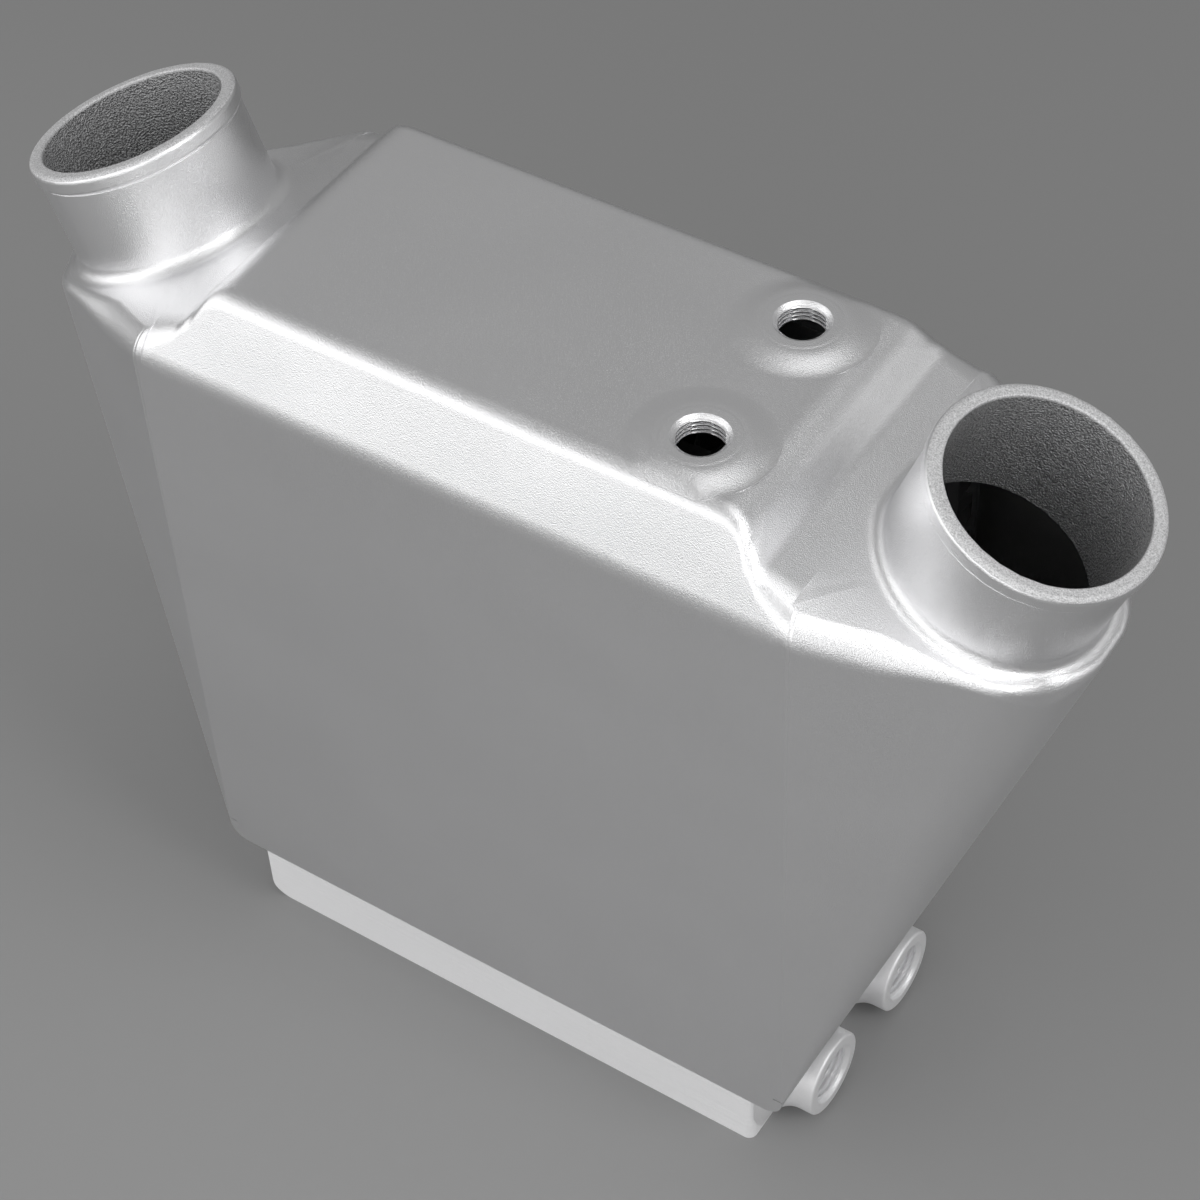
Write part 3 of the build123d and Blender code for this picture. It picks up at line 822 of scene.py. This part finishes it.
@dataclass
class UpperTank:
    """The pan over the core: flat top, slanted sides, steep ends and sloping ledges."""

    body: Body
    band: float = 0.0062
    side_run: float = 0.0172
    end_run: float = 0.0254
    end_slope: float = 0.0119
    top_fold: float = 0.009
    band_fold: float = 0.020
    end_fold: float = 0.016
    hollow: float = 0.010
    crown_fold: float = 0.0145
    crown_drop: float = 0.0035
    crown_round: float = 0.030
    hip_round: float = 0.017
    wall: float = 0.004
    port_hole: float = 0.0135
    hole_reach: float = 0.02

    def end_view(self) -> Array:
        """Heights along X: rows of (x, height) from the left end to the right one."""
        body = self.body
        half, foot = body.half_length, body.half_length - self.end_run + self.end_slope
        flat = half - self.end_run
        right = [(flat, body.lid_top), (foot, body.shelf(foot)), (half, body.shelf(half))]
        path = [(-x, z) for x, z in reversed(right)] + right
        points = np.array([[(x, 0.0, z) for x, z in path]])
        rounding = np.array([0, self.hollow, self.end_fold, self.end_fold, self.hollow, 0])
        return soften(points, rounding, 14, 5)[0][:, [0, 2]]

    def outside(self) -> Skin:
        """Outer surface: the cross-section of each x, carried along the tank.

        The section's slanted side runs inwards in step with the height at that x. Down the steep end
        a margin of the top sinks by a smooth step, s^2 * (3 - 2 s), into the crown that goes on over
        the end tank; the slanted side stops where it meets this margin.
        """
        body = self.body
        x, height = self.end_view().T
        share = np.clip((np.abs(x) - body.half_length + self.end_run) / self.end_slope, 0, 1)
        crowned = share ** 2 * (3 - 2 * share)
        band = body.core_top + self.band
        rise = (body.lid_top - band) / self.side_run
        slant = crowned * self.crown_drop / self.crown_fold / cos(body.tilt)
        fold = self.crown_fold + (1 - crowned) * self.side_run
        hip = (height - band - slant * fold) / (rise - slant)
        low = np.full_like(x, body.core_top)
        wide = np.full_like(x, body.half_width)
        half = [(wide, low), (wide, np.full_like(x, band)), (wide - hip, band + rise * hip),
                (wide - fold, height)]
        section = [(-y, z) for y, z in half] + [(y, z) for y, z in reversed(half)]
        points = np.stack([np.column_stack([x, y, z]) for y, z in section], 1)
        radii = np.zeros(points.shape[:2])
        radii[:, [1, 6]] = self.band_fold
        radii[:, [2, 5]] = (self.top_fold + crowned * (self.hip_round - self.top_fold))[:, None]
        radii[:, [3, 4]] = self.crown_round
        return Skin(soften(points, radii, 12, 3), closed_columns=True, caps=True)

    def inside(self) -> Skin:
        """Inner space: a simple tapered block that opens downwards."""
        body, wall = self.body, self.wall
        low, high = body.core_top - OVERRUN, body.lid_top - wall
        x0, x1 = body.half_length - wall, body.half_length - self.end_run - wall
        y0, y1 = body.half_width - wall, body.half_width - self.side_run - wall
        mid = body.core_top + self.band - wall
        levels = ((x0, y0, low), (x0, y0, mid), (x1, y1, high))
        points = np.array([[(a * x, b * y, z) for x, y, z in levels] for a, b in CORNERS])
        return Skin(points, closed_rows=True, caps=True, surface=Surface.ROUGH)

    def hole(self, side: Side) -> Skin:
        """Cylinder that cuts the hole for a bung's neck."""
        lathe = Lathe(self.body.port(side), UP, RIGHT, 96)
        points = lathe.carry(self.port_hole, [-self.hole_reach, self.hole_reach])
        return Skin(points, closed_rows=True, caps=True, surface=Surface.ROUGH)

    def make(self, finishes: Finishes) -> bpy.types.Object:
        """Builds, hollows and dresses the pan."""
        pan = build("top_water_tank_skin", self.outside())
        cutters = [build("inner", self.inside())] + [build("hole", self.hole(side)) for side in Side]
        for piece in [pan] + cutters:
            dress(piece, finishes.tank[:2])
        carve(pan, cutters)
        place(pan, "top_water_tank", "sheet_metal")
        return pan


# Bungs


@dataclass
class Thread:
    """A female thread cut into a bore that ends in a countersink."""

    crest: float
    depth: float
    pitch: float = 0.00181
    per_turn: int = 8
    countersink: float = 0.8

    def stop(self, top: float, mouth: float) -> float:
        """Height where the bore ends and the countersink of a mouth begins, under a face at the top."""
        return top - (mouth - self.crest) * self.countersink

    def heights(self, bottom: float, stop: float) -> Array:
        """Evenly spaced heights of the rows of the bore."""
        return np.arange(bottom, stop, self.pitch / self.per_turn)

    def radius(self, angle: Array, height: Array) -> Array:
        """Radius over the bore: crest + depth * ridge(height / pitch - angle / full turn).

        The ridge rises and falls over a sixth of the pitch, between flats of a third.
        """
        phase = (height / self.pitch - angle / (2 * pi)) % 1.0
        ridge = np.clip(2.0 - np.abs(phase - 0.5) * 6.0, 0, 1)
        return self.crest + self.depth * ridge


@dataclass
class Bung:
    """What the threaded bungs share."""

    body: Body
    side: Side

    def ring(self, tank: str, parts: list[Array], material: bpy.types.Material) -> bpy.types.Object:
        """Makes the bung from the parts of its profile, bore first, closed to a ring.

        Args:
            tank: the tank that it is on, top or bottom.
            parts: grids with one row for each angle.
            material: its finish.

        Returns:
            The dressed bung, in its place.
        """
        node = f"{tank}_{self.side.pick('front', 'rear')}_bung"
        skin = Skin(np.concatenate(parts, 1), closed_rows=True, closed_columns=True)
        bung = build(f"{node}_threaded", skin)
        dress(bung, [material])
        place(bung, node, "bung_metal")
        return bung


@dataclass
class TopBung(Bung):
    """A threaded bung with a low crown that blends into the upper tank."""

    thread: Thread = field(default_factory=lambda: Thread(0.0092, 0.0011))
    mouth: float = 0.0108
    flat_ring: float = 0.0142
    flare: float = 0.0285
    flat_half: float = 0.0549
    fold: float = 0.009
    rise: float = 0.0029
    lip: float = 0.0004
    chamfer: float = 0.0003
    under: float = 0.0002
    neck: float = 0.0134
    length: float = 0.0055
    step_width: float = 0.0016
    step_drop: float = 0.00018
    over_fold: float = 0.0052
    least_thread: float = 0.15
    rows: int = 128

    def crown(self, lathe: Lathe) -> Array:
        """Outer crown: a flat ring, a small step, then rise * (1 - s)^2 * (1 + 2 s) out to the flare.

        Beyond the flat top, at a distance q from it, all of this is lowered by
        fold - sqrt(fold^2 - q^2), so that the crown lies on the fold; it ends a little way over it.

        Args:
            lathe: what carries the crown round.

        Returns:
            Points with one row for each angle.
        """
        s, step = np.linspace(0, 1, 28)[None, 1:], np.linspace(0, 1, 7)[None]
        to_side = self.side.value * np.sin(lathe.angles)
        to_fold = self.flat_half - self.body.port_spacing / 2
        flare = np.minimum(self.flare, (to_fold + self.over_fold) / np.maximum(to_side, TINY))
        foot = self.flat_ring + self.step_width
        inner = np.hstack([[[self.mouth + self.lip]], self.flat_ring + step * self.step_width])
        radius = np.hstack([np.repeat(inner, lathe.rows, 0), foot + s * (flare - foot)])
        height = np.hstack([[[self.rise]], self.rise - self.step_drop * step ** 2 * (3 - 2 * step),
                            (self.rise - self.step_drop) * (1 - s) ** 2 * (1 + 2 * s)])
        beyond = np.clip(radius * to_side - to_fold, 0, self.fold)
        return lathe.carry(radius, height - self.fold + np.sqrt(self.fold ** 2 - beyond ** 2))

    def make(self, finishes: Finishes) -> bpy.types.Object:
        """Builds and dresses the bung, its thread fading out over the last turn."""
        lathe = Lathe(self.body.port(self.side), UP, RIGHT, self.rows)
        stop = self.thread.stop(self.rise, self.mouth)
        height = self.thread.heights(-self.length, stop)
        fade = np.clip((stop - height) / self.thread.pitch, self.least_thread, 1)
        widest = self.thread.crest + self.thread.depth * fade + self.lip
        bore = lathe.carry(np.minimum(self.thread.radius(lathe.angles, height), widest), height)
        mouth = lathe.carry(self.mouth, self.rise - self.chamfer)
        crown = self.crown(lathe)
        under = crown[:, -1:] - self.under * UP
        neck = lathe.carry(self.neck, [-self.under, -self.length])
        return self.ring("top", [bore, mouth, crown, under, neck], finishes.satin)


@dataclass
class BottomBung(Bung):
    """A threaded bung on the right end of the lower tank, its foot flared onto the end wall."""

    spacing: float = 0.0634
    thread: Thread = field(default_factory=lambda: Thread(0.0120, 0.0015, 0.0023))
    mouth: float = 0.0138
    radius: float = 0.0195
    reach: float = 0.0202
    flare: float = 0.0145
    flare_along: float = 0.0135
    lip: float = 0.0012
    chamfer: float = 0.0003
    chamfer_width: float = 0.0004
    collar: float = 0.0008
    under: float = 0.0001
    neck: float = 0.0163
    length: float = 0.006
    drop: float = 0.0263
    foot_gap: float = 0.0008
    edge: float = 0.001
    rows: int = 144

    def make(self, finishes: Finishes) -> bpy.types.Object:
        """Builds and dresses the bung.

        The foot is a quarter circle swept round the boss. Where the end wall is too small for it,
        its width in that direction is what is left beside the boss.
        """
        low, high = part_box("bottom_water_tank")
        centre = np.array([high.x, self.side.value * self.spacing / 2, self.body.base - self.drop])
        lathe = Lathe(centre, RIGHT, BACK, self.rows)
        _, out_y, out_z = lathe.out.T
        room_y = np.where(out_y > 0, high.y - centre[1], centre[1] - low.y) - self.edge
        room_z = np.where(out_z > 0, self.body.base - centre[2], centre[2] - self.foot_gap)
        room = np.stack([room_y, room_z]) / np.maximum(np.abs([out_y, out_z]), TINY)
        width = np.minimum(self.flare, room.min(0) - self.radius)[:, None]
        height = self.thread.heights(-self.length, self.thread.stop(self.reach, self.mouth))
        bore = lathe.carry(self.thread.radius(lathe.angles, height), height)
        bend, turn = np.linspace(0, pi / 2, 6), np.linspace(0, pi / 2, 14)
        rim_r = [self.mouth, self.mouth + self.chamfer_width,
                 *(self.radius - self.lip * (1 - np.sin(bend))), self.radius]
        rim_h = [self.reach - self.chamfer, self.reach, *(self.reach - self.lip * (1 - np.cos(bend))),
                 self.flare_along + self.collar]
        flare = lathe.carry(self.radius + width * (1 - np.cos(turn)), self.flare_along * (1 - np.sin(turn)))
        under = flare[:, -1:] - self.under * RIGHT
        neck = lathe.carry(self.neck, [-self.under, -self.length])
        parts = [bore, lathe.carry(rim_r, rim_h), flare, under, neck]
        return self.ring("bottom", parts, finishes.turned)


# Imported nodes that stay


class PackedPieces:
    """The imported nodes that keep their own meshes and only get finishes."""

    def make(self, finishes: Finishes) -> None:
        """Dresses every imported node."""
        outer = {"front_side_plate": finishes.satin, "rear_side_plate": finishes.satin,
                 "bottom_water_tank": finishes.raw}
        for name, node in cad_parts.items():
            dress(node, [outer.get(name, finishes.brazed)])
        log.info("dressed %d packed nodes", len(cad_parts))


# Studio


def bearing(azimuth: float, elevation: float) -> Vector:
    """Unit vector that points out from the object, in degrees to the right of the front and upwards."""
    az, el = radians(azimuth), radians(elevation)
    return Vector((sin(az) * cos(el), -cos(az) * cos(el), sin(el)))


@dataclass(frozen=True)
class SoftBox:
    """A rectangular light that faces the object, given by its direction, size and brightness."""

    name: str
    azimuth: float
    elevation: float
    distance: float
    width: float
    height: float
    radiance: float

    def make(self, target: Vector) -> None:
        """Adds the light; its power is radiance * pi * area."""
        way = bearing(self.azimuth, self.elevation)
        data = bpy.data.lights.new(self.name, "AREA")
        data.shape = "RECTANGLE"
        data.size, data.size_y = self.width, self.height
        data.energy = self.radiance * pi * self.width * self.height
        lamp = bpy.data.objects.new(self.name, data)
        lamp.location = target + way * self.distance
        lamp.rotation_euler = way.to_track_quat("Z", "Y").to_euler()
        bpy.context.scene.collection.objects.link(lamp)


@dataclass
class Studio:
    """Plain floor, soft boxes and the camera of the photograph."""

    azimuth: float = 35.47
    elevation: float = 46.91
    roll: float = -3.2
    target: tuple[float, float, float] = (0.01217, 0.0, 0.22003)
    distance: float = 1.16642
    lens: float = 86.48
    aim: tuple[float, float, float] = (0.0, 0.0, 0.15)
    floor_grey: float = 0.282
    floor_half: float = 12.0
    ambient: float = 0.32
    boxes: tuple[SoftBox, ...] = (
        SoftBox("front_left_box", -50, 26, 1.7, 2.2, 1.6, 1.03),
        SoftBox("front_right_box", 20, 26, 1.7, 1.8, 1.6, 1.08),
        SoftBox("back_right_box", 126, 12, 2.4, 1.6, 1.2, 0.45),
        SoftBox("overhead_box", 95, 79, 2.4, 1.5, 1.5, 1.20),
        SoftBox("key_box", 84, 42, 2.4, 0.9, 0.9, 4.5),
    )

    def make(self) -> None:
        """Builds the floor, the lights, the surroundings and the camera."""
        self.floor()
        for box in self.boxes:
            box.make(Vector(self.aim))
        world = bpy.data.worlds.new("surroundings")
        world.use_nodes = True
        world.node_tree.nodes["Background"].inputs["Color"].default_value = (self.ambient,) * 3 + (1,)
        bpy.context.scene.world = world
        bpy.context.scene.view_settings.view_transform = "Standard"
        self.camera()

    def floor(self) -> None:
        """A large plain floor just under the object."""
        mesh = bpy.data.meshes.new("floor")
        points = [(x * self.floor_half, y * self.floor_half, 0.0) for x, y in CORNERS]
        mesh.from_pydata(points, [], [(0, 1, 2, 3)])
        floor = bpy.data.objects.new("floor", mesh)
        bpy.context.scene.collection.objects.link(floor)
        paint = bpy.data.materials.new("floor_paint")
        paint.use_nodes = True
        shader = paint.node_tree.nodes["Principled BSDF"]
        shader.inputs["Base Color"].default_value = (self.floor_grey,) * 3 + (1,)
        shader.inputs["Roughness"].default_value = 0.7
        mesh.materials.append(paint)

    def camera(self) -> None:
        """Camera of the photograph: back is the way from the target to the camera."""
        back, roll = bearing(self.azimuth, self.elevation), radians(self.roll)
        level = (-back).cross(Vector((0, 0, 1))).normalized()
        up = level.cross(-back)
        right = level * cos(roll) + up * sin(roll)
        above = up * cos(roll) - level * sin(roll)
        data = bpy.data.cameras.new("camera")
        data.lens = self.lens
        eye = bpy.data.objects.new("camera", data)
        turn = Matrix((right, above, back)).transposed().to_4x4()
        eye.matrix_world = Matrix.Translation(Vector(self.target) + back * self.distance) @ turn
        bpy.context.scene.collection.objects.link(eye)
        bpy.context.scene.camera = eye


def main() -> None:
    """Builds the pieces in order."""
    logging.basicConfig(level=logging.INFO, format="%(message)s")
    finishes = Finishes()
    PackedPieces().make(finishes)
    body = Body()
    for side in Side:
        EndTank(body, side).make(finishes)
    UpperTank(body).make(finishes)
    for side in Side:
        TopBung(body, side).make(finishes)
        BottomBung(body, side).make(finishes)
    Studio().make()


if __name__ == "__main__":
    main()
